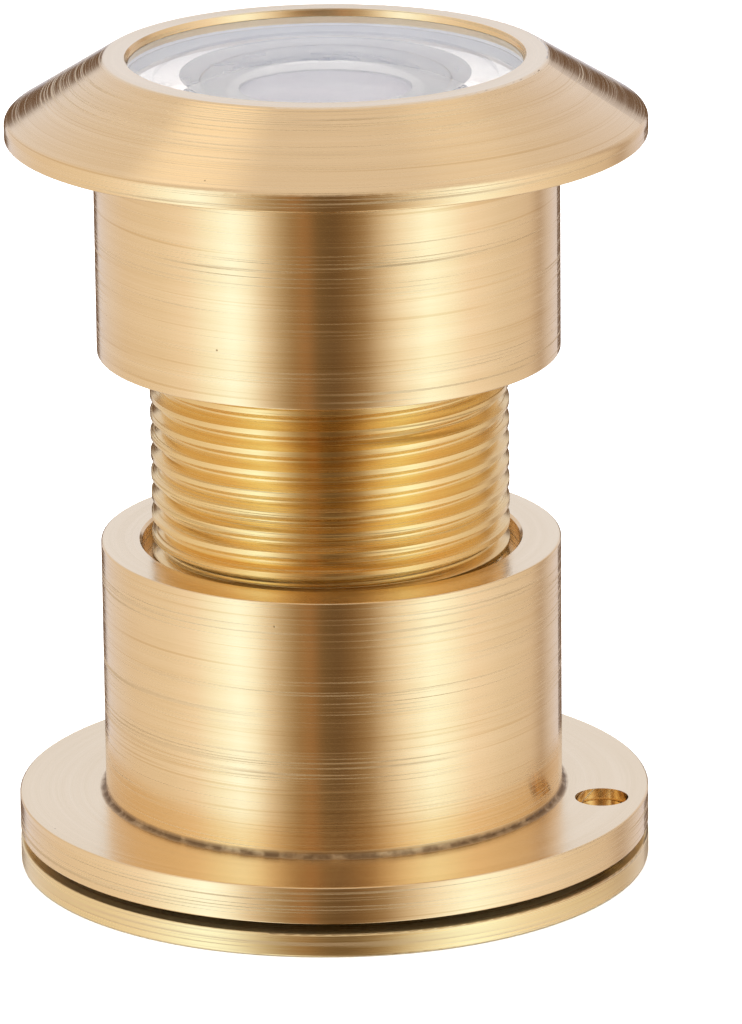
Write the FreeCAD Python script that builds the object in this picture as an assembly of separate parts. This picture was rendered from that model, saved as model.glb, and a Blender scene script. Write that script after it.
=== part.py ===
"""Door viewer: a screw-adjustable brass peephole with a swinging privacy cover.

Millimetres. +Z runs along the sight axis from the room towards the outdoor lens, and
the origin is where that axis meets the room face of the privacy cover. The cover's
pivot lies on the +X side. Every piece is written as its own STEP file in parts/.
"""
import FreeCAD, Part
import math
import os

# Privacy cover and its pivot
FLANGE_RADIUS = 19.5
COVER_THICKNESS = 1.45
COVER_GAP = 0.62
PIVOT_RADIUS = 16.85
PIVOT_HEAD_RADIUS = 1.55
PIVOT_HEAD_THICKNESS = 0.8
PIVOT_HEAD_CLEARANCE = 0.10
PIVOT_RECESS_DEPTH = 1.5
PIVOT_SHANK_RADIUS = 1.0
PIVOT_SHANK_CLEARANCE = 0.06
PIVOT_END_RADIUS = 0.8
PIVOT_END_DEPTH = 1.05
PIVOT_SLOT_WIDTH = 0.45
PIVOT_SLOT_DEPTH = 0.35
AXIAL_PLAY = 0.02
CUT_OVERSHOOT = 1.0
MATCH_TOLERANCE = 1e-4
WASHER_RADIUS = 2.0
WASHER_THICKNESS = 0.25

# Inner barrel: flange, sleeve and female thread
FLANGE_BOTTOM = COVER_THICKNESS + COVER_GAP
FLANGE_THICKNESS = 2.33
FLANGE_TOP = FLANGE_BOTTOM + FLANGE_THICKNESS
SLEEVE_RADIUS = 14.15
SLEEVE_TOP = 20.5
SLEEVE_ROOT_ROUND = 0.25
MOUTH_RADIUS = 11.64
MOUTH_BOTTOM = 18.5
MOUTH_CHAMFER = 0.15
FEMALE_CREST_RADIUS = 10.50
FEMALE_RELIEF_RADIUS = 11.20
FEMALE_RELIEF_TOP = 8.1
FEMALE_FLOOR = 6.2

# Outer barrel: threaded tube, collar and bezel
TUBE_BOTTOM = 12.3
TUBE_BORE_RADIUS = 8.9
COLLAR_RADIUS = 14.17
COLLAR_BOTTOM = 32.5
BEZEL_BOTTOM = 46.0
BEZEL_RIM_TOP = 47.1
BEZEL_TOP = 50.8
BEZEL_FACE_RADIUS = 13.5
LENS_BORE_RADIUS = 12.15
LENS_SHOULDER = 45.5
EDGE_ROUND = 0.12
BEZEL_ROUND = 0.5
LIP_RADIUS = 11.97
LIP_BOTTOM = 50.37

# Screw thread: 60 degree form, right-hand, 20 threads per inch
THREAD_PITCH = 1.27
THREAD_RADIUS = 11.0
THREAD_CREST = THREAD_PITCH / 4
THREAD_ROOT_ROUND = 0.16
THREAD_ROOT_FACETS = 3
THREAD_OVERCUT = 0.08
THREAD_FLANK = math.radians(30)
THREAD_CLEARANCE = 0.07
THREAD_PHASE = 1.185
TUBE_END_CHAMFER = 0.6

# Outdoor lens group; every lens is held with a hair of play
SEAT_GAP = 0.02
CROWN_MARGIN = 0.1
FRONT_LENS_RADIUS = 12.1
FRONT_LENS_EDGE_TOP = 50.34
FRONT_LENS_CROWN = 0.35
FRONT_LENS_BOTTOM = 46.5
FRONT_LENS_BEVEL = 0.15
FRONT_DISH_RADIUS = 8.7
FRONT_DISH_DEPTH = 2.8

CELL_FLANGE_RADIUS = 12.0
CELL_BODY_RADIUS = 8.8
CELL_BOTTOM = 36.0
CELL_BORE_RADIUS = 6.6
CELL_LIP_RADIUS = 6.2
CELL_LIP_BOTTOM = 44.6
CELL_LIP_TOP = 45.1
CELL_MOUTH_RADIUS = 8.45
CELL_SEAT_RADIUS = 10.3
CELL_SEAT_HEIGHT = 0.25

SMALL_LENS_RADIUS = 6.56
SECOND_LENS_EDGE = 1.9
SECOND_LENS_CROWN = 0.25
SECOND_DISH_RADIUS = 5.3
SECOND_DISH_DEPTH = 1.5
SPACER_LENGTH = 1.4
SPACER_WALL = 0.9
THIRD_LENS_EDGE = 2.2
THIRD_DISH_RADIUS = 5.3
THIRD_DISH_DEPTH = 0.7
CELL_RING_LENGTH = 1.6
CELL_RING_OPENING = 5.0

# Eyepiece
EYE_APERTURE_RADIUS = 7.0
EYE_APERTURE_CHAMFER = 0.3
EYE_SEAT_RADIUS = 8.0
EYE_SEAT_BOTTOM = 2.95
EYE_LENS_RADIUS = 7.94
EYE_LENS_EDGE = 1.5
EYE_FRONT_CROWN = 0.9
EYE_BACK_CROWN = 0.6
EYE_RING_RADIUS = 7.97
EYE_RING_OPENING = 6.7
EYE_RING_LENGTH = 1.4

# Spanner notches in the two retaining rings
NOTCH_WIDTH = 1.2
NOTCH_DEPTH = 0.7


def turned(outline):
    """Solid of revolution about the sight axis; the outline is a closed list of (r, z)."""
    points = [FreeCAD.Vector(r, 0, z) for r, z in outline]
    face = Part.Face(Part.makePolygon(points + points[:1]))
    return face.revolve(FreeCAD.Vector(0, 0, 0), FreeCAD.Vector(0, 0, 1), 360)


def disc(radius, bottom, top, x=0.0):
    """Upright cylinder whose axis stands at x on the X axis."""
    return Part.makeCylinder(radius, top - bottom, FreeCAD.Vector(x, 0, bottom))


def rounded(shape, rims, size):
    """Round the circular edges at the given (r, z) rims of a turned solid."""
    edges = []
    for edge in shape.Edges:
        if not isinstance(edge.Curve, Part.Circle):
            continue
        for r, z in rims:
            if math.dist((r, z), (edge.Curve.Radius, edge.Curve.Center.z)) < MATCH_TOLERANCE:
                edges.append(edge)
    return shape.makeFillet(size, edges)


def dome(radius, base, height):
    """Spherical cap of the given height on a disc at z = base, downwards if negative."""
    sphere_radius = (radius ** 2 + height ** 2) / (2 * abs(height))
    centre = base + height - math.copysign(sphere_radius, height)
    sphere = Part.makeSphere(sphere_radius, FreeCAD.Vector(0, 0, centre))
    slab = disc(radius, min(base, base + height), max(base, base + height))
    return sphere.common(slab)


def cross_slot(radius, width, bottom, top):
    """Box that cuts a straight slot right across a round piece on the sight axis."""
    length = 2 * (radius + CUT_OVERSHOOT)
    slot = Part.makeBox(length, width, top - bottom)
    slot.translate(FreeCAD.Vector(-length / 2, -width / 2, bottom))
    return slot


def thread_sweep(section, first_z, last_z):
    """Sweep a closed section wire, drawn at z = 0 on the +X side, up a right-hand helix."""
    helix = Part.makeLongHelix(THREAD_PITCH, last_z - first_z, THREAD_RADIUS, 0)
    helix.translate(FreeCAD.Vector(0, 0, first_z))
    section.translate(FreeCAD.Vector(0, 0, first_z))
    sweep = Part.BRepOffsetAPI.MakePipeShell(Part.Wire(helix.Edges))
    sweep.setFrenetMode(True)
    sweep.add(section)
    sweep.build()
    sweep.makeSolid()
    return sweep.shape()


def male_groove():
    """Helical groove of the male thread; its rounded root is a few narrow facets."""
    slope = math.tan(THREAD_FLANK)
    apex = THREAD_RADIUS - (THREAD_PITCH - THREAD_CREST) / 2 / slope
    outside = THREAD_RADIUS + THREAD_OVERCUT
    outside_z = (outside - apex) * slope
    outline = [FreeCAD.Vector(outside, 0, -outside_z)]
    half_turn = math.pi / 2 - THREAD_FLANK
    for step in range(THREAD_ROOT_FACETS + 1):
        angle = half_turn * (2 * step / THREAD_ROOT_FACETS - 1)
        r = apex + THREAD_ROOT_ROUND * (2 - math.cos(angle))
        outline.append(FreeCAD.Vector(r, 0, THREAD_ROOT_ROUND * math.sin(angle)))
    outline.append(FreeCAD.Vector(outside, 0, outside_z))
    section = Part.makePolygon(outline + outline[:1])
    first = THREAD_PHASE + THREAD_PITCH / 2
    while first + 2 * THREAD_PITCH < TUBE_BOTTOM:
        first += THREAD_PITCH
    turns = math.ceil((COLLAR_BOTTOM - first) / THREAD_PITCH) + 1
    return thread_sweep(section, first, first + turns * THREAD_PITCH)


def female_groove():
    """Helical groove that takes the male ridge with clearance on both flanks."""
    slope = math.tan(THREAD_FLANK)
    root = THREAD_RADIUS + THREAD_CLEARANCE
    inside = FEMALE_CREST_RADIUS - THREAD_OVERCUT
    flank_gap = THREAD_CLEARANCE / math.cos(THREAD_FLANK)

    def half_width(r):
        return THREAD_CREST / 2 + (THREAD_RADIUS - r) * slope + flank_gap

    outline = [
        FreeCAD.Vector(inside, 0, -half_width(inside)),
        FreeCAD.Vector(root, 0, -half_width(root)),
        FreeCAD.Vector(root, 0, half_width(root)),
        FreeCAD.Vector(inside, 0, half_width(inside)),
    ]
    section = Part.makePolygon(outline + outline[:1])
    first = THREAD_PHASE
    while first - half_width(inside) < FEMALE_FLOOR + AXIAL_PLAY:
        first += THREAD_PITCH
    turns = math.ceil((MOUTH_BOTTOM - first) / THREAD_PITCH) + 1
    return thread_sweep(section, first, first + turns * THREAD_PITCH)


def outer_barrel():
    """Bezel with a lip swaged over the lens bevel, collar and male-threaded tube, from one bar."""
    tube = turned([
        (TUBE_BORE_RADIUS, TUBE_BOTTOM),
        (THREAD_RADIUS - TUBE_END_CHAMFER, TUBE_BOTTOM),
        (THREAD_RADIUS, TUBE_BOTTOM + TUBE_END_CHAMFER),
        (THREAD_RADIUS, COLLAR_BOTTOM),
        (TUBE_BORE_RADIUS, COLLAR_BOTTOM),
    ])
    tube = tube.cut(male_groove()).Solids[0]
    head = turned([
        (TUBE_BORE_RADIUS, COLLAR_BOTTOM),
        (COLLAR_RADIUS, COLLAR_BOTTOM),
        (COLLAR_RADIUS, BEZEL_BOTTOM),
        (FLANGE_RADIUS, BEZEL_BOTTOM),
        (FLANGE_RADIUS, BEZEL_RIM_TOP),
        (BEZEL_FACE_RADIUS, BEZEL_TOP),
        (LENS_BORE_RADIUS, BEZEL_TOP),
        (LIP_RADIUS, LIP_BOTTOM),
        (LENS_BORE_RADIUS, LIP_BOTTOM - LENS_BORE_RADIUS + LIP_RADIUS),
        (LENS_BORE_RADIUS, LENS_SHOULDER),
        (TUBE_BORE_RADIUS, LENS_SHOULDER),
    ])
    head = rounded(head, [(FLANGE_RADIUS, BEZEL_RIM_TOP), (BEZEL_FACE_RADIUS, BEZEL_TOP)], BEZEL_ROUND)
    head = rounded(head, [(COLLAR_RADIUS, COLLAR_BOTTOM), (FLANGE_RADIUS, BEZEL_BOTTOM)], EDGE_ROUND)
    return head.fuse(tube)


def inner_barrel():
    """Room-side flange and sleeve with the female thread, eyepiece seat and pivot recess."""
    body = turned([
        (EYE_APERTURE_RADIUS + EYE_APERTURE_CHAMFER, FLANGE_BOTTOM),
        (FLANGE_RADIUS, FLANGE_BOTTOM),
        (FLANGE_RADIUS, FLANGE_TOP),
        (SLEEVE_RADIUS, FLANGE_TOP),
        (SLEEVE_RADIUS, SLEEVE_TOP),
        (MOUTH_RADIUS + MOUTH_CHAMFER, SLEEVE_TOP),
        (MOUTH_RADIUS, SLEEVE_TOP - MOUTH_CHAMFER),
        (MOUTH_RADIUS, MOUTH_BOTTOM),
        (FEMALE_CREST_RADIUS, MOUTH_BOTTOM),
        (FEMALE_CREST_RADIUS, FEMALE_RELIEF_TOP),
        (FEMALE_RELIEF_RADIUS, FEMALE_RELIEF_TOP),
        (FEMALE_RELIEF_RADIUS, FEMALE_FLOOR),
        (EYE_SEAT_RADIUS, FEMALE_FLOOR),
        (EYE_SEAT_RADIUS, EYE_SEAT_BOTTOM),
        (EYE_APERTURE_RADIUS, EYE_SEAT_BOTTOM),
        (EYE_APERTURE_RADIUS, FLANGE_BOTTOM + EYE_APERTURE_CHAMFER),
    ])
    body = rounded(body, [(SLEEVE_RADIUS, FLANGE_TOP)], SLEEVE_ROOT_ROUND)
    corners = [(FLANGE_RADIUS, FLANGE_BOTTOM), (FLANGE_RADIUS, FLANGE_TOP), (SLEEVE_RADIUS, SLEEVE_TOP)]
    body = rounded(body, corners, EDGE_ROUND)
    recess_radius = PIVOT_HEAD_RADIUS + PIVOT_HEAD_CLEARANCE
    shank_radius = PIVOT_SHANK_RADIUS + PIVOT_SHANK_CLEARANCE
    recess_bottom = FLANGE_TOP - PIVOT_RECESS_DEPTH
    body = body.cut(disc(recess_radius, recess_bottom, FLANGE_TOP + CUT_OVERSHOOT, PIVOT_RADIUS))
    body = body.cut(disc(shank_radius, FLANGE_BOTTOM - CUT_OVERSHOOT, FLANGE_TOP, PIVOT_RADIUS))
    return body.cut(female_groove())


def cover_plate():
    """Round privacy cover with a blind hole for the end of the pivot screw."""
    plate = disc(FLANGE_RADIUS, 0, COVER_THICKNESS)
    plate = rounded(plate, [(FLANGE_RADIUS, 0), (FLANGE_RADIUS, COVER_THICKNESS)], EDGE_ROUND)
    hole_bottom = COVER_THICKNESS - PIVOT_END_DEPTH
    return plate.cut(disc(PIVOT_END_RADIUS, hole_bottom, COVER_THICKNESS + CUT_OVERSHOOT, PIVOT_RADIUS))


def pivot_screw():
    """Shouldered screw: slotted head in the flange recess, shank, and end fixed in the cover."""
    head_bottom = FLANGE_TOP - PIVOT_RECESS_DEPTH + AXIAL_PLAY
    head_top = head_bottom + PIVOT_HEAD_THICKNESS
    head = disc(PIVOT_HEAD_RADIUS, head_bottom, head_top)
    head = rounded(head, [(PIVOT_HEAD_RADIUS, head_top)], EDGE_ROUND)
    slot_bottom = head_top - PIVOT_SLOT_DEPTH
    slot = cross_slot(PIVOT_HEAD_RADIUS, PIVOT_SLOT_WIDTH, slot_bottom, head_top + CUT_OVERSHOOT)
    shank = disc(PIVOT_SHANK_RADIUS, COVER_THICKNESS, head_bottom)
    end = disc(PIVOT_END_RADIUS, COVER_THICKNESS - PIVOT_END_DEPTH, COVER_THICKNESS)
    screw = head.cut(slot).fuse([shank, end]).removeSplitter()
    screw.translate(FreeCAD.Vector(PIVOT_RADIUS, 0, 0))
    return screw


def spring_washer():
    """Conical spring washer that fills the gap between cover and flange round the pivot."""
    hole = PIVOT_SHANK_RADIUS + PIVOT_SHANK_CLEARANCE
    top = FLANGE_BOTTOM - AXIAL_PLAY
    washer = turned([
        (hole, top - WASHER_THICKNESS),
        (WASHER_RADIUS, COVER_THICKNESS),
        (WASHER_RADIUS, COVER_THICKNESS + WASHER_THICKNESS),
        (hole, top),
    ])
    washer.translate(FreeCAD.Vector(PIVOT_RADIUS, 0, 0))
    return washer


def front_lens():
    """Large outdoor lens: gently crowned outside, deeply dished inside."""
    blank = turned([
        (0, FRONT_LENS_BOTTOM),
        (FRONT_LENS_RADIUS, FRONT_LENS_BOTTOM),
        (FRONT_LENS_RADIUS, FRONT_LENS_EDGE_TOP - FRONT_LENS_BEVEL),
        (FRONT_LENS_RADIUS - FRONT_LENS_BEVEL, FRONT_LENS_EDGE_TOP),
        (0, FRONT_LENS_EDGE_TOP),
    ])
    crown = dome(FRONT_LENS_RADIUS - FRONT_LENS_BEVEL, FRONT_LENS_EDGE_TOP, FRONT_LENS_CROWN)
    dish = dome(FRONT_DISH_RADIUS, FRONT_LENS_BOTTOM, FRONT_DISH_DEPTH)
    return blank.fuse(crown).cut(dish)


def lens_cell():
    """Pale moulded cell that hangs from the lens shoulder and holds the two small lenses."""
    seat = FRONT_LENS_BOTTOM - SEAT_GAP
    ledge = seat - CELL_SEAT_HEIGHT
    return turned([
        (CELL_BORE_RADIUS, CELL_BOTTOM),
        (CELL_BODY_RADIUS, CELL_BOTTOM),
        (CELL_BODY_RADIUS, LENS_SHOULDER),
        (CELL_FLANGE_RADIUS, LENS_SHOULDER),
        (CELL_FLANGE_RADIUS, seat),
        (CELL_SEAT_RADIUS, seat),
        (CELL_SEAT_RADIUS, ledge),
        (CELL_MOUTH_RADIUS, ledge),
        (CELL_LIP_RADIUS, CELL_LIP_TOP),
        (CELL_LIP_RADIUS, CELL_LIP_BOTTOM),
        (CELL_BORE_RADIUS, CELL_LIP_BOTTOM),
    ])


def stacked(lengths):
    """Bottom of the next piece behind the cell's lip, after pieces of the given lengths."""
    return CELL_LIP_BOTTOM - sum(lengths) - SEAT_GAP * len(lengths)


def second_lens():
    """Small lens against the cell's lip: slightly crowned in front, dished behind."""
    bottom = stacked([SECOND_LENS_EDGE])
    top = bottom + SECOND_LENS_EDGE
    blank = disc(SMALL_LENS_RADIUS, bottom, top)
    crown = dome(CELL_LIP_RADIUS - CROWN_MARGIN, top, SECOND_LENS_CROWN)
    dish = dome(SECOND_DISH_RADIUS, bottom, SECOND_DISH_DEPTH)
    return blank.fuse(crown).cut(dish)


def lens_spacer():
    """Plain ring between the second and third lenses."""
    bottom = stacked([SECOND_LENS_EDGE, SPACER_LENGTH])
    top = bottom + SPACER_LENGTH
    return disc(SMALL_LENS_RADIUS, bottom, top).cut(disc(SMALL_LENS_RADIUS - SPACER_WALL, bottom, top))


def third_lens():
    """Small lens dished on both sides, behind the spacer."""
    bottom = stacked([SECOND_LENS_EDGE, SPACER_LENGTH, THIRD_LENS_EDGE])
    top = bottom + THIRD_LENS_EDGE
    blank = disc(SMALL_LENS_RADIUS, bottom, top)
    blank = blank.cut(dome(THIRD_DISH_RADIUS, top, -THIRD_DISH_DEPTH))
    return blank.cut(dome(THIRD_DISH_RADIUS, bottom, THIRD_DISH_DEPTH))


def retaining_ring(radius, opening, bottom, length, notch_z):
    """Ring with two spanner notches cut down from notch_z."""
    ring = disc(radius, bottom, bottom + length).cut(disc(opening, bottom, bottom + length))
    return ring.cut(cross_slot(radius, NOTCH_WIDTH, notch_z, notch_z + NOTCH_DEPTH))


def cell_ring():
    """Retaining ring at the back of the lens cell, notched on its room side."""
    bottom = stacked([SECOND_LENS_EDGE, SPACER_LENGTH, THIRD_LENS_EDGE, CELL_RING_LENGTH])
    return retaining_ring(SMALL_LENS_RADIUS, CELL_RING_OPENING, bottom, CELL_RING_LENGTH, bottom)


def eyepiece_lens():
    """Biconvex lens that rests on the shoulder inside the room flange."""
    bottom = EYE_SEAT_BOTTOM + SEAT_GAP
    top = bottom + EYE_LENS_EDGE
    blank = disc(EYE_LENS_RADIUS, bottom, top)
    front = dome(EYE_RING_OPENING - CROWN_MARGIN, top, EYE_FRONT_CROWN)
    back = dome(EYE_APERTURE_RADIUS - CROWN_MARGIN, bottom, -EYE_BACK_CROWN)
    return blank.fuse([front, back])


def eyepiece_ring():
    """Retaining ring in front of the eyepiece lens, notched on its outdoor side."""
    bottom = EYE_SEAT_BOTTOM + EYE_LENS_EDGE + 2 * SEAT_GAP
    notch_z = bottom + EYE_RING_LENGTH - NOTCH_DEPTH
    return retaining_ring(EYE_RING_RADIUS, EYE_RING_OPENING, bottom, EYE_RING_LENGTH, notch_z)


PIECES = [
    outer_barrel,
    inner_barrel,
    cover_plate,
    pivot_screw,
    spring_washer,
    front_lens,
    lens_cell,
    second_lens,
    lens_spacer,
    third_lens,
    cell_ring,
    eyepiece_lens,
    eyepiece_ring,
]

os.makedirs("parts", exist_ok=True)
for make in PIECES:
    solids = make().Solids
    if len(solids) != 1 or not solids[0].isValid():
        raise RuntimeError(f"{make.__name__} is not one valid solid")
    solids[0].exportStep(f"parts/{make.__name__}.step")
    print(f"{make.__name__}: {solids[0].Volume:.1f} mm3")
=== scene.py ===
"""Looks of the door viewer: turned brass, ground glass, and a coloured light tent over pale paper.

Metres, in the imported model's frame: +Z along the sight axis, the cover's pivot towards +X.
"""

import math

import bpy
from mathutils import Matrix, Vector


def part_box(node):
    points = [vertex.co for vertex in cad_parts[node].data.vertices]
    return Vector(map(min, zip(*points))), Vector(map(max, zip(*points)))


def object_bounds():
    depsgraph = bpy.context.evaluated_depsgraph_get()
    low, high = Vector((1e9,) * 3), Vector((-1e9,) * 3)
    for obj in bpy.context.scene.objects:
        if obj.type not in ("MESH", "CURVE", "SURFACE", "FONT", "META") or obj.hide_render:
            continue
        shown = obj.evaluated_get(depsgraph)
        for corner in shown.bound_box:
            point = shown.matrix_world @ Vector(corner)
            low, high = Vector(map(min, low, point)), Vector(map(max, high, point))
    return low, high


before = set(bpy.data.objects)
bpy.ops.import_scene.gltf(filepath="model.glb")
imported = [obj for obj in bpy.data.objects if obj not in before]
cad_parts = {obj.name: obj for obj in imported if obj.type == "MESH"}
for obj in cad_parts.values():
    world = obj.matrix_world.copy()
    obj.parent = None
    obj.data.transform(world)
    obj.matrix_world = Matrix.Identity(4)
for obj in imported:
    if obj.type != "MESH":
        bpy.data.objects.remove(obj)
cad_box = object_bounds()

MM = 0.001

# Camera, fitted to the outline in the photo: a long lens that looks down on the viewer, from a
# little to the pivot's side
CAMERA_AZIMUTH = math.radians(12)
CAMERA_DISTANCE = 446.8 * MM
CAMERA_HEIGHT = 157.9 * MM
CAMERA_PITCH = math.radians(16.93)
CAMERA_YAW = math.radians(0.316)
CAMERA_ROLL = math.radians(-0.624)
CAMERA_LENS = 267.2
CAMERA_SENSOR = 36.0
CAMERA_CLIP = 0.01

# Studio walls: the light that reaches the metal from each angle, in degrees to the camera's right.
# The colours follow samples of the reflections in the photo, rounded and adjusted.
STUDIO_WALL = (
    (-180, (0.86, 0.92, 1.12)),
    (-150, (0.78, 0.73, 0.77)),
    (-120, (0.81, 0.70, 0.61)),
    (-90, (0.88, 0.78, 0.68)),
    (-74, (0.99, 0.90, 0.82)),
    (-60, (1.12, 1.20, 1.18)),
    (-48, (1.22, 1.42, 1.55)),
    (-40, (1.14, 1.22, 1.22)),
    (-32, (0.84, 0.75, 0.64)),
    (-24, (0.52, 0.41, 0.28)),
    (-17, (0.34, 0.22, 0.11)),
    (-11, (0.37, 0.20, 0.09)),
    (-5, (0.18, 0.115, 0.055)),
    (3, (0.15, 0.090, 0.045)),
    (10, (0.22, 0.13, 0.06)),
    (18, (0.36, 0.24, 0.13)),
    (26, (0.68, 0.56, 0.43)),
    (36, (1.02, 0.98, 0.90)),
    (50, (1.20, 1.36, 1.40)),
    (60, (1.14, 1.22, 1.20)),
    (74, (1.02, 0.93, 0.86)),
    (96, (0.84, 0.75, 0.67)),
    (118, (0.75, 0.64, 0.56)),
    (129, (0.52, 0.41, 0.34)),
    (139, (0.70, 0.62, 0.60)),
    (150, (0.77, 0.71, 0.75)),
    (180, (0.86, 0.92, 1.12)),
)
STUDIO_CEILING = (0.79, 0.70, 0.64)
CEILING_START = 0.45
CEILING_FULL = 0.85
# Softboxes high up behind the viewer: direction in the camera's frame, and added light
SOFTBOXES = (
    ((-0.35, 0.30, 0.89), (0.42, 0.40, 0.34)),
    ((0.40, 0.28, 0.87), (0.14, 0.13, 0.10)),
)
SOFTBOX_EDGE = math.cos(math.radians(13))
SOFTBOX_CORE = math.cos(math.radians(4))
# Dark gap on each side, low down behind the viewer: its edges in degrees from the camera's
# direction, and the upward parts of a direction between which it ends
GAP_COLOR = (0.15, 0.085, 0.045)
GAP_EDGES = (157, 161, 171, 175)
GAP_TOP = (0.17, 0.24)
FLOOR_RADIUS = 3.0
FLOOR_SIDES = 96
FLOOR_COLOR = (0.93, 0.93, 0.93)
# Faint clouds in the paper: their shade as a share of its colour, and noise cells per metre
FLOOR_CLOUD = 0.99
FLOOR_CLOUD_SCALE = 30.0
FLOOR_ROUGHNESS = 0.9
FLOOR_GAP = 0.02 * MM
BACKDROP_COLOR = (0.94, 0.94, 0.94)
# Plain light seen through glass in place of the studio, and brighter than it
LENS_SKY = (2.00, 1.80, 1.70)
TOP_LIGHT_HEIGHT = 0.9
TOP_LIGHT_SIZE = 0.7
TOP_LIGHT_POWER = 14.0

# Most of a noise lies between these values
NOISE_RANGE = (0.3, 0.7)

# Each material's light colour, deep colour and roughness range
BAR_BRASS = ((0.93, 0.74, 0.47), (0.86, 0.66, 0.39), (0.14, 0.26))
COVER_BRASS = ((0.95, 0.79, 0.46), (0.89, 0.71, 0.38), (0.24, 0.38))
SCREW_BRASS = ((0.95, 0.74, 0.38), (0.88, 0.62, 0.27), (0.12, 0.25))
SPRING_STEEL = ((0.62, 0.61, 0.60), (0.48, 0.47, 0.46), (0.25, 0.4))
ALUMINIUM = ((0.80, 0.81, 0.83), (0.70, 0.71, 0.73), (0.25, 0.35))
CELL_PLASTIC = ((0.60, 0.58, 0.56), (0.56, 0.54, 0.525), (0.35, 0.5))
BLACK_PLASTIC = ((0.03, 0.03, 0.03), (0.02, 0.02, 0.02), (0.4, 0.6))

# Marks on the turned brass
BRASS_SCRATCH = (0.97, 0.80, 0.53)
BRASS_GROOVE = (0.78, 0.57, 0.31)
# The next colour is painted shade for the inside corner at the sleeve's foot
BRASS_PAINTED_SHADE = (0.30, 0.19, 0.10)
BRASS_PIT = (0.32, 0.20, 0.10)
SCRATCH_ROUGHNESS = 0.6
# Roughness that goes with the painted shade in that corner
PAINTED_SHADE_ROUGHNESS = 0.45
# Patterns round the axis: noise cells per radian of turn, and per mm along the profile
FINE_LINES = (0.9, 11.0)
BROAD_LINES = (0.5, 1.6)
MARK_CLUSTERS = (0.6, 0.45)
SCRATCHES = (0.8, 9.0)
GROOVES = (0.7, 7.3)
# Noise value at which a mark starts, and how far above it the mark is full
SCRATCH_START = 0.55
GROOVE_START = 0.60
MARK_RAMP = 0.10
# Between the first two values of the cluster noise, marks go from the third value to the fourth
SCRATCHED = (0.40, 0.60, 0.15, 1.0)
GROOVED = (0.56, 0.42, 0.1, 0.9)
# Weight of the fine and of the broad lines in the brass's tone, and the tone's range
TONE_WEIGHT = 0.6
TONE_RANGE = (0.4, 0.8)
# Upward part of the normal at which a face counts as flat, and at which it is fully a wall
FLAT_FACE = 0.97
WALL_FACE = 0.90
# Height of a scratch or groove, and depth of a nick, beside that of the fine lines
LINE_DEPTH = 0.002 * MM
MARK_HEIGHT = 0.5
PIT_DEPTH = 4.0
PIT_SPACING = 3.0 * MM
PIT_SIZE = 0.09 * MM
# Share of the nick pattern's cells that stay empty
PIT_FREE = 0.7
BRASS_ANISOTROPY = 0.85
# Turn of the anisotropy from the tangent, as a share of a full turn
ANISOTROPY_TURN = 0.25
# Threads and bores, which are yellower: radius and height in mm below which they lie
CUT_LIGHT = (0.95, 0.76, 0.40)
CUT_DEEP = (0.84, 0.60, 0.27)
CUT_RADIUS = 11.3
CUT_TOP = 32.4
CUT_BLEND = 0.1
# Inside corner where the sleeve meets its flange, radius and height in mm, and the painted shade in it:
# a broken dark line that stands in for shadow
SLEEVE_CORNER = (14.15, 4.40)
PAINTED_SHADE_REACH = 0.42
PAINTED_SHADE_SCALE = 1200.0
PAINTED_SHADE_PATCHES = (0.35, 0.55, 0.6, 1.0)

# Small pieces: noise cells per metre in the mottling and the grain, and the grain's relief
METAL_MOTTLING = (900.0, 4.0)
METAL_GRAIN = 6000.0
METAL_RELIEF = 0.6
PLASTIC_MOTTLING = (350.0, 3.0)
PLASTIC_GRAIN = 5000.0
PLASTIC_RELIEF = 0.4
GRAIN_DEPTH = 0.01 * MM

# Glass with ground edges; the blend is in mm, and the noises in cells per metre
GROUND_BLEND = 0.03
GROUND_LIGHT = (0.97, 0.95, 0.91)
GROUND_DEEP = (0.91, 0.90, 0.86)
GROUND_ROUGHNESS = 0.6
GROUND_GRAIN = 4000.0
HAZE_SCALE = 400.0
# Between the first two values of the haze, roughness goes from the third value to the fourth
HAZE_ROUGHNESS = (0.4, 0.8, 0.0, 0.02)
# Share of its clarity that glass keeps where the haze is thickest
HAZE_CLARITY = 0.97
GLASS_IOR = 1.52
CLEAR_TINTS = ((0.97, 0.99, 0.98), (0.94, 0.98, 0.96))
COATED_TINTS = ((0.90, 0.90, 0.97), (0.85, 0.86, 0.95))
HAZY_TINTS = ((0.60, 0.56, 0.59), (0.56, 0.53, 0.565))
HAZY_CLARITY = 0.12


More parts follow.
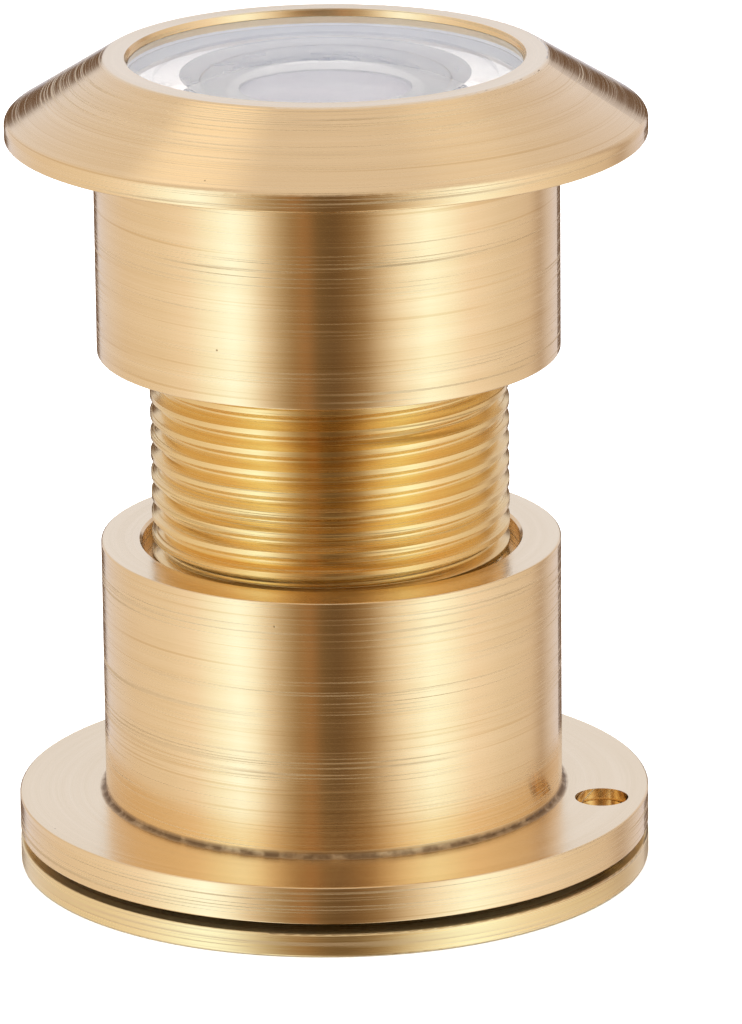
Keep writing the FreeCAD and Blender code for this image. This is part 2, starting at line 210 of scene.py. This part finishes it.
class Nodes:
    """A node tree, with short calls for adding and wiring nodes."""

    def __init__(self, tree):
        self.tree = tree

    def connect(self, socket, value):
        """Link a socket to another node's output, or give it a plain value."""
        if isinstance(value, bpy.types.NodeSocket):
            self.tree.links.new(value, socket)
        elif isinstance(value, tuple) and socket.type == "RGBA":
            socket.default_value = value + (1.0,)
        else:
            socket.default_value = value

    def node(self, kind, settings=None, **inputs):
        """Add a node; inputs are values or other nodes' sockets, by input name."""
        made = self.tree.nodes.new(kind)
        for name, value in (settings or {}).items():
            setattr(made, name, value)
        for name, value in inputs.items():
            self.connect(made.inputs[name], value)
        return made

    def math(self, operation, first, second=0.0):
        made = self.node("ShaderNodeMath", {"operation": operation})
        self.connect(made.inputs[0], first)
        self.connect(made.inputs[1], second)
        return made.outputs[0]

    def noise(self, vector, scale, detail=2.0, roughness=0.5):
        settings = {"Vector": vector, "Scale": scale, "Detail": detail, "Roughness": roughness}
        return self.node("ShaderNodeTexNoise", None, **settings).outputs["Fac"]

    def spread(self, value, low, high, bottom=0.0, top=1.0):
        """Map low..high of a value to bottom..top, clamped."""
        made = self.node("ShaderNodeMapRange", None, Value=value)
        limits = {"From Min": low, "From Max": high, "To Min": bottom, "To Max": top}
        for name, limit in limits.items():
            made.inputs[name].default_value = limit
        return made.outputs["Result"]

    def ease(self, value, low, high):
        """Map low..high of a value to 0..1, with a smooth start and end."""
        made = self.node("ShaderNodeMapRange", {"interpolation_type": "SMOOTHSTEP"}, Value=value)
        made.inputs["From Min"].default_value = low
        made.inputs["From Max"].default_value = high
        return made.outputs["Result"]

    def blend(self, factor, first, second, mode="MIX"):
        """Mix two colours; each is a triple or a socket."""
        made = self.node("ShaderNodeMix", {"data_type": "RGBA", "blend_type": mode}, Factor=factor)
        self.connect(made.inputs[6], first)
        self.connect(made.inputs[7], second)
        return made.outputs[2]

    def position(self):
        return self.node("ShaderNodeTexCoord").outputs["Object"]


class Shader(Nodes):
    """A material's node tree."""

    def __init__(self, name):
        self.material = bpy.data.materials.new(name)
        self.material.use_nodes = True
        super().__init__(self.material.node_tree)
        self.surface = self.tree.nodes["Principled BSDF"]

    def set(self, name, value):
        self.connect(self.surface.inputs[name], value)

    def set_relief(self, height, strength, depth):
        bump = self.node("ShaderNodeBump", None, Strength=strength, Distance=depth, Height=height)
        self.set("Normal", bump.outputs[0])


def turned_coordinates(shader):
    """Lathe coordinates: around the axis as a unit vector, then radius and height in mm."""
    position = shader.position()
    flat = shader.node("ShaderNodeVectorMath", {"operation": "MULTIPLY"})
    shader.connect(flat.inputs[0], position)
    flat.inputs[1].default_value = (1, 1, 0)
    around = shader.node("ShaderNodeVectorMath", {"operation": "NORMALIZE"})
    shader.connect(around.inputs[0], flat.outputs[0])
    radius = shader.node("ShaderNodeVectorMath", {"operation": "LENGTH"})
    shader.connect(radius.inputs[0], flat.outputs[0])
    height = shader.node("ShaderNodeSeparateXYZ", None, Vector=position).outputs["Z"]
    return (
        around.outputs[0],
        shader.math("DIVIDE", radius.outputs["Value"], MM),
        shader.math("DIVIDE", height, MM),
    )


def lathe_vector(shader, around, profile, pattern):
    """Texture vector with long arcs round the axis and fine steps along the profile."""
    per_radian, per_mm = pattern
    wide = shader.node("ShaderNodeVectorMath", {"operation": "SCALE"}, Scale=per_radian)
    shader.connect(wide.inputs[0], around)
    parts = shader.node("ShaderNodeSeparateXYZ", None, Vector=wide.outputs[0])
    steps = shader.math("MULTIPLY", profile, per_mm)
    joined = shader.node("ShaderNodeCombineXYZ", X=parts.outputs["X"], Y=parts.outputs["Y"], Z=steps)
    return joined.outputs[0]


def lathe_marks(shader, around, profile, pattern, start, clusters):
    """Thin marks round the axis, 0 to 1: the top share of a noise, kept where clusters are."""
    marks = shader.noise(lathe_vector(shader, around, profile, pattern), 1.0, 1.0)
    return shader.math("MULTIPLY", shader.spread(marks, start, start + MARK_RAMP), clusters)


def cut_zone(shader, radius, height):
    """1 on the screw threads and in the bores, 0 on the finished outside."""
    inside = shader.spread(radius, CUT_RADIUS, CUT_RADIUS - CUT_BLEND)
    below = shader.spread(height, CUT_TOP, CUT_TOP - CUT_BLEND)
    return shader.math("MULTIPLY", inside, below)


def wall_share(shader):
    """1 on walls and bevels, 0 on flat faces square to the axis."""
    normal = shader.node("ShaderNodeTexCoord").outputs["Normal"]
    upward = shader.node("ShaderNodeSeparateXYZ", None, Vector=normal).outputs["Z"]
    return shader.spread(shader.math("ABSOLUTE", upward), FLAT_FACE, WALL_FACE)


def painted_corner_shade(shader, radius, height):
    """Painted shade: a broken dark line in the inside corner at the foot of the sleeve, 0 to 1."""
    across = shader.math("SUBTRACT", radius, SLEEVE_CORNER[0])
    above = shader.math("SUBTRACT", height, SLEEVE_CORNER[1])
    across_squared = shader.math("MULTIPLY", across, across)
    above_squared = shader.math("MULTIPLY", above, above)
    squares = shader.math("ADD", across_squared, above_squared)
    near = shader.spread(squares, PAINTED_SHADE_REACH ** 2, 0.0)
    patches = shader.noise(shader.position(), PAINTED_SHADE_SCALE, 3.0)
    return shader.math("MULTIPLY", near, shader.spread(patches, *PAINTED_SHADE_PATCHES))


def pits(shader):
    """A few tiny nicks, 0 to 1."""
    cells = shader.node("ShaderNodeTexVoronoi", None, Vector=shader.position(), Scale=1 / PIT_SPACING)
    near = shader.spread(cells.outputs["Distance"], PIT_SIZE / PIT_SPACING, 0.5 * PIT_SIZE / PIT_SPACING)
    chosen = shader.node("ShaderNodeSeparateColor", None, Color=cells.outputs["Color"]).outputs["Red"]
    return shader.math("MULTIPLY", near, shader.math("GREATER_THAN", chosen, PIT_FREE))


def brass_tone(shader, fine, broad):
    """0 where the brass is deep, 1 where it is light."""
    fine_part = shader.math("MULTIPLY", fine, TONE_WEIGHT)
    broad_part = shader.math("MULTIPLY", broad, TONE_WEIGHT)
    return shader.spread(shader.math("ADD", fine_part, broad_part), *TONE_RANGE)


def brass_relief(shader, fine, scratch, groove, pit):
    """Height of the surface: lines and scratches stand up, grooves and nicks go down."""
    raised = shader.math("ADD", fine, shader.math("MULTIPLY", scratch, MARK_HEIGHT))
    grooves = shader.math("MULTIPLY", groove, MARK_HEIGHT)
    nicks = shader.math("MULTIPLY", pit, PIT_DEPTH)
    return shader.math("SUBTRACT", raised, shader.math("ADD", grooves, nicks))


def turned_brass(name, light, deep, roughness):
    """Brass from the lathe: fine lines round the axis, marks in clusters, nicks, yellower threads."""
    shader = Shader(name)
    around, radius, height = turned_coordinates(shader)
    profile = shader.math("SUBTRACT", height, radius)
    fine = shader.noise(lathe_vector(shader, around, profile, FINE_LINES), 1.0, 2.0, 0.6)
    broad = shader.noise(lathe_vector(shader, around, profile, BROAD_LINES), 1.0, 2.0)
    cluster = shader.noise(lathe_vector(shader, around, profile, MARK_CLUSTERS), 1.0, 1.0)
    walls = wall_share(shader)
    scratched = shader.math("MULTIPLY", walls, shader.spread(cluster, *SCRATCHED))
    grooved = shader.math("MULTIPLY", walls, shader.spread(cluster, *GROOVED))
    scratch = lathe_marks(shader, around, profile, SCRATCHES, SCRATCH_START, scratched)
    groove = lathe_marks(shader, around, profile, GROOVES, GROOVE_START, grooved)
    pit = pits(shader)
    # Painted shade in the inside corner at the sleeve's foot
    corner_shade = painted_corner_shade(shader, radius, height)
    tone = brass_tone(shader, fine, broad)
    outside = shader.blend(tone, deep, light)
    # Scratches, grooves and nicks are wear; the corner mark is painted shade
    marks = ((scratch, BRASS_SCRATCH), (groove, BRASS_GROOVE), (pit, BRASS_PIT), (corner_shade, BRASS_PAINTED_SHADE))
    for share, colour in marks:
        outside = shader.blend(share, outside, colour)
    cut = shader.blend(tone, CUT_DEEP, CUT_LIGHT)
    shader.set("Base Color", shader.blend(cut_zone(shader, radius, height), outside, cut))
    worn = shader.math("MULTIPLY", scratch, SCRATCH_ROUGHNESS - roughness[0])
    worn = shader.math("ADD", worn, shader.math("MULTIPLY", corner_shade, PAINTED_SHADE_ROUGHNESS))
    shader.set("Roughness", shader.math("ADD", shader.spread(fine, *NOISE_RANGE, *roughness), worn))
    shader.set("Metallic", 1.0)
    shader.set("Anisotropic", BRASS_ANISOTROPY)
    shader.set("Anisotropic Rotation", ANISOTROPY_TURN)
    tangent = shader.node("ShaderNodeTangent", {"direction_type": "RADIAL", "axis": "Z"})
    shader.set("Tangent", tangent.outputs[0])
    shader.set_relief(brass_relief(shader, fine, scratch, groove, pit), 1.0, LINE_DEPTH)
    return shader.material


def mottled(shader, look, mottling, grain_scale, relief):
    """Give a small piece its mottled colour, and a fine grain in roughness and relief."""
    light, deep, roughness = look
    mottle = shader.noise(shader.position(), *mottling)
    grain = shader.noise(shader.position(), grain_scale, 2.0)
    shader.set("Base Color", shader.blend(shader.spread(mottle, *NOISE_RANGE), deep, light))
    shader.set("Roughness", shader.spread(grain, *NOISE_RANGE, *roughness))
    shader.set_relief(grain, relief, GRAIN_DEPTH)


def plain_metal(name, look):
    """Small machined piece."""
    shader = Shader(name)
    mottled(shader, look, METAL_MOTTLING, METAL_GRAIN, METAL_RELIEF)
    shader.set("Metallic", 1.0)
    return shader.material


def moulded_plastic(name, look):
    """Moulded plastic with a satin surface."""
    shader = Shader(name)
    mottled(shader, look, PLASTIC_MOTTLING, PLASTIC_GRAIN, PLASTIC_RELIEF)
    return shader.material


def polished_glass(node, tints, clarity):
    """Optical glass for a round lens node: a faint polishing haze and a ground, frosted edge."""
    shader = Shader(node + "_glass")
    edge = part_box(node)[1][0] / MM - GROUND_BLEND
    radius = turned_coordinates(shader)[1]
    haze = shader.noise(shader.position(), HAZE_SCALE, 3.0)
    grain = shader.noise(shader.position(), GROUND_GRAIN, 2.0)
    ground = shader.spread(radius, edge - GROUND_BLEND, edge)
    clear = shader.blend(shader.spread(haze, *NOISE_RANGE), *tints)
    frosted = shader.blend(shader.spread(grain, *NOISE_RANGE), GROUND_DEEP, GROUND_LIGHT)
    shader.set("Base Color", shader.blend(ground, clear, frosted))
    polish = shader.spread(haze, *HAZE_ROUGHNESS)
    frost = shader.math("MULTIPLY", ground, GROUND_ROUGHNESS)
    shader.set("Roughness", shader.math("MAXIMUM", polish, frost))
    through = shader.spread(haze, *NOISE_RANGE, clarity, HAZE_CLARITY * clarity)
    polished = shader.math("SUBTRACT", 1.0, ground)
    shader.set("Transmission Weight", shader.math("MULTIPLY", polished, through))
    shader.set("IOR", GLASS_IOR)
    return shader.material


def dress(nodes, material):
    """Give CAD nodes a material and keep their own meshes."""
    for name in nodes:
        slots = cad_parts[name].data.materials
        slots.clear()
        slots.append(material)


def dress_all():
    bar_brass = turned_brass("turned_brass", *BAR_BRASS)
    dress(("outer_barrel", "inner_barrel", "eyepiece_ring"), bar_brass)
    dress(("cover_plate",), turned_brass("cover_brass", *COVER_BRASS))
    dress(("pivot_screw",), plain_metal("screw_brass", SCREW_BRASS))
    dress(("spring_washer",), plain_metal("spring_steel", SPRING_STEEL))
    dress(("lens_spacer",), plain_metal("aluminium", ALUMINIUM))
    dress(("front_lens",), polished_glass("front_lens", CLEAR_TINTS, 1.0))
    dress(("second_lens",), polished_glass("second_lens", HAZY_TINTS, HAZY_CLARITY))
    dress(("third_lens",), polished_glass("third_lens", COATED_TINTS, 1.0))
    dress(("eyepiece_lens",), polished_glass("eyepiece_lens", CLEAR_TINTS, 1.0))
    dress(("lens_cell",), moulded_plastic("cell_plastic", CELL_PLASTIC))
    dress(("cell_ring",), moulded_plastic("black_plastic", BLACK_PLASTIC))


def camera_direction():
    """Unit vector, level, from the sight axis towards the camera."""
    return Vector((math.sin(CAMERA_AZIMUTH), -math.cos(CAMERA_AZIMUTH), 0))


def add_camera():
    toward = camera_direction()
    heading = CAMERA_AZIMUTH - CAMERA_YAW
    forward = Vector((
        -math.sin(heading) * math.cos(CAMERA_PITCH),
        math.cos(heading) * math.cos(CAMERA_PITCH),
        -math.sin(CAMERA_PITCH),
    ))
    right = forward.cross(Vector((0, 0, 1))).normalized()
    up = right.cross(forward)
    tilted_right = right * math.cos(CAMERA_ROLL) + up * math.sin(CAMERA_ROLL)
    tilted_up = up * math.cos(CAMERA_ROLL) - right * math.sin(CAMERA_ROLL)
    data = bpy.data.cameras.new("camera")
    data.lens = CAMERA_LENS
    data.sensor_width = CAMERA_SENSOR
    data.clip_start = CAMERA_CLIP
    camera = bpy.data.objects.new("camera", data)
    bpy.context.scene.collection.objects.link(camera)
    place = toward * CAMERA_DISTANCE + Vector((0, 0, CAMERA_HEIGHT))
    matrix = camera.matrix_world.copy()
    for column, axis in enumerate((tilted_right, tilted_up, -forward, place)):
        for row in range(3):
            matrix[row][column] = axis[row]
    camera.matrix_world = matrix
    bpy.context.scene.camera = camera


def wall_colour(nodes, angle):
    """The wall's colour at an angle round the viewer, which runs from -pi to pi."""
    turns = nodes.math("DIVIDE", angle, 2 * math.pi)
    wall = nodes.node("ShaderNodeValToRGB", None, Fac=nodes.math("ADD", turns, 0.5))
    ramp = wall.color_ramp
    while len(ramp.elements) < len(STUDIO_WALL):
        ramp.elements.new(1.0)
    for element, (degrees, colour) in zip(ramp.elements, STUDIO_WALL):
        element.position = (degrees + 180) / 360
        element.color = colour + (1.0,)
    return wall.outputs["Color"]


def gap_share(nodes, angle, height):
    """1 in the dark gap on each side, 0 outside it."""
    away = nodes.math("ABSOLUTE", angle)
    outer, inner, far, farthest = (math.radians(degrees) for degrees in GAP_EDGES)
    gap = nodes.math("MULTIPLY", nodes.ease(away, outer, inner), nodes.ease(away, farthest, far))
    return nodes.math("MULTIPLY", gap, nodes.ease(height, GAP_TOP[1], GAP_TOP[0]))


def softbox_share(nodes, direction, toward_box):
    """1 in the middle of a round softbox, 0 outside it."""
    facing = nodes.node("ShaderNodeVectorMath", {"operation": "DOT_PRODUCT"})
    nodes.connect(facing.inputs[0], direction)
    facing.inputs[1].default_value = Vector(toward_box).normalized()
    return nodes.ease(facing.outputs["Value"], SOFTBOX_EDGE, SOFTBOX_CORE)


def add_world():
    """Light tent that the metal reflects; the camera and the glass see plain light in its place."""
    world = bpy.data.worlds.new("studio")
    bpy.context.scene.world = world
    world.use_nodes = True
    nodes = Nodes(world.node_tree)
    around = nodes.node("ShaderNodeTexCoord").outputs["Generated"]
    turn = nodes.node("ShaderNodeVectorRotate", {"rotation_type": "Z_AXIS"}, Vector=around)
    turn.inputs["Angle"].default_value = -CAMERA_AZIMUTH
    direction = turn.outputs[0]
    parts = nodes.node("ShaderNodeSeparateXYZ", None, Vector=direction)
    height = parts.outputs["Z"]
    toward = nodes.math("MULTIPLY", parts.outputs["Y"], -1.0)
    angle = nodes.math("ARCTAN2", parts.outputs["X"], toward)
    walls = nodes.blend(gap_share(nodes, angle, height), wall_colour(nodes, angle), GAP_COLOR)
    ceiling = nodes.ease(height, CEILING_START, CEILING_FULL)
    studio = nodes.blend(ceiling, walls, STUDIO_CEILING)
    for toward_box, light in SOFTBOXES:
        studio = nodes.blend(softbox_share(nodes, direction, toward_box), studio, light, "ADD")
    path = nodes.node("ShaderNodeLightPath")
    studio = nodes.blend(path.outputs["Is Transmission Ray"], studio, LENS_SKY)
    studio = nodes.blend(path.outputs["Is Camera Ray"], studio, BACKDROP_COLOR)
    nodes.connect(nodes.tree.nodes["Background"].inputs["Color"], studio)


def add_top_light():
    """Large overhead softbox, left out of reflections and of what is seen through glass."""
    data = bpy.data.lights.new("top_light", "AREA")
    data.shape = "DISK"
    data.size = TOP_LIGHT_SIZE
    data.energy = TOP_LIGHT_POWER
    light = bpy.data.objects.new("top_light", data)
    light.location = (0, 0, TOP_LIGHT_HEIGHT)
    light.visible_glossy = False
    light.visible_transmission = False
    bpy.context.scene.collection.objects.link(light)


def add_floor():
    """Pale paper just under the viewer, left out of reflections."""
    bpy.ops.mesh.primitive_circle_add(vertices=FLOOR_SIDES, radius=FLOOR_RADIUS, fill_type="NGON")
    floor = bpy.context.object
    floor.name = "floor"
    floor.location = (0, 0, cad_box[0][2] - FLOOR_GAP)
    floor.visible_glossy = False
    shader = Shader("floor_paper")
    cloud = shader.noise(shader.position(), FLOOR_CLOUD_SCALE, 2.0)
    shade = tuple(FLOOR_CLOUD * channel for channel in FLOOR_COLOR)
    shader.set("Base Color", shader.blend(cloud, FLOOR_COLOR, shade))
    shader.set("Roughness", FLOOR_ROUGHNESS)
    shader.set("Specular IOR Level", 0.0)
    floor.data.materials.append(shader.material)


dress_all()
add_camera()
add_world()
add_top_light()
add_floor()
bpy.context.scene.view_settings.view_transform = "Standard"
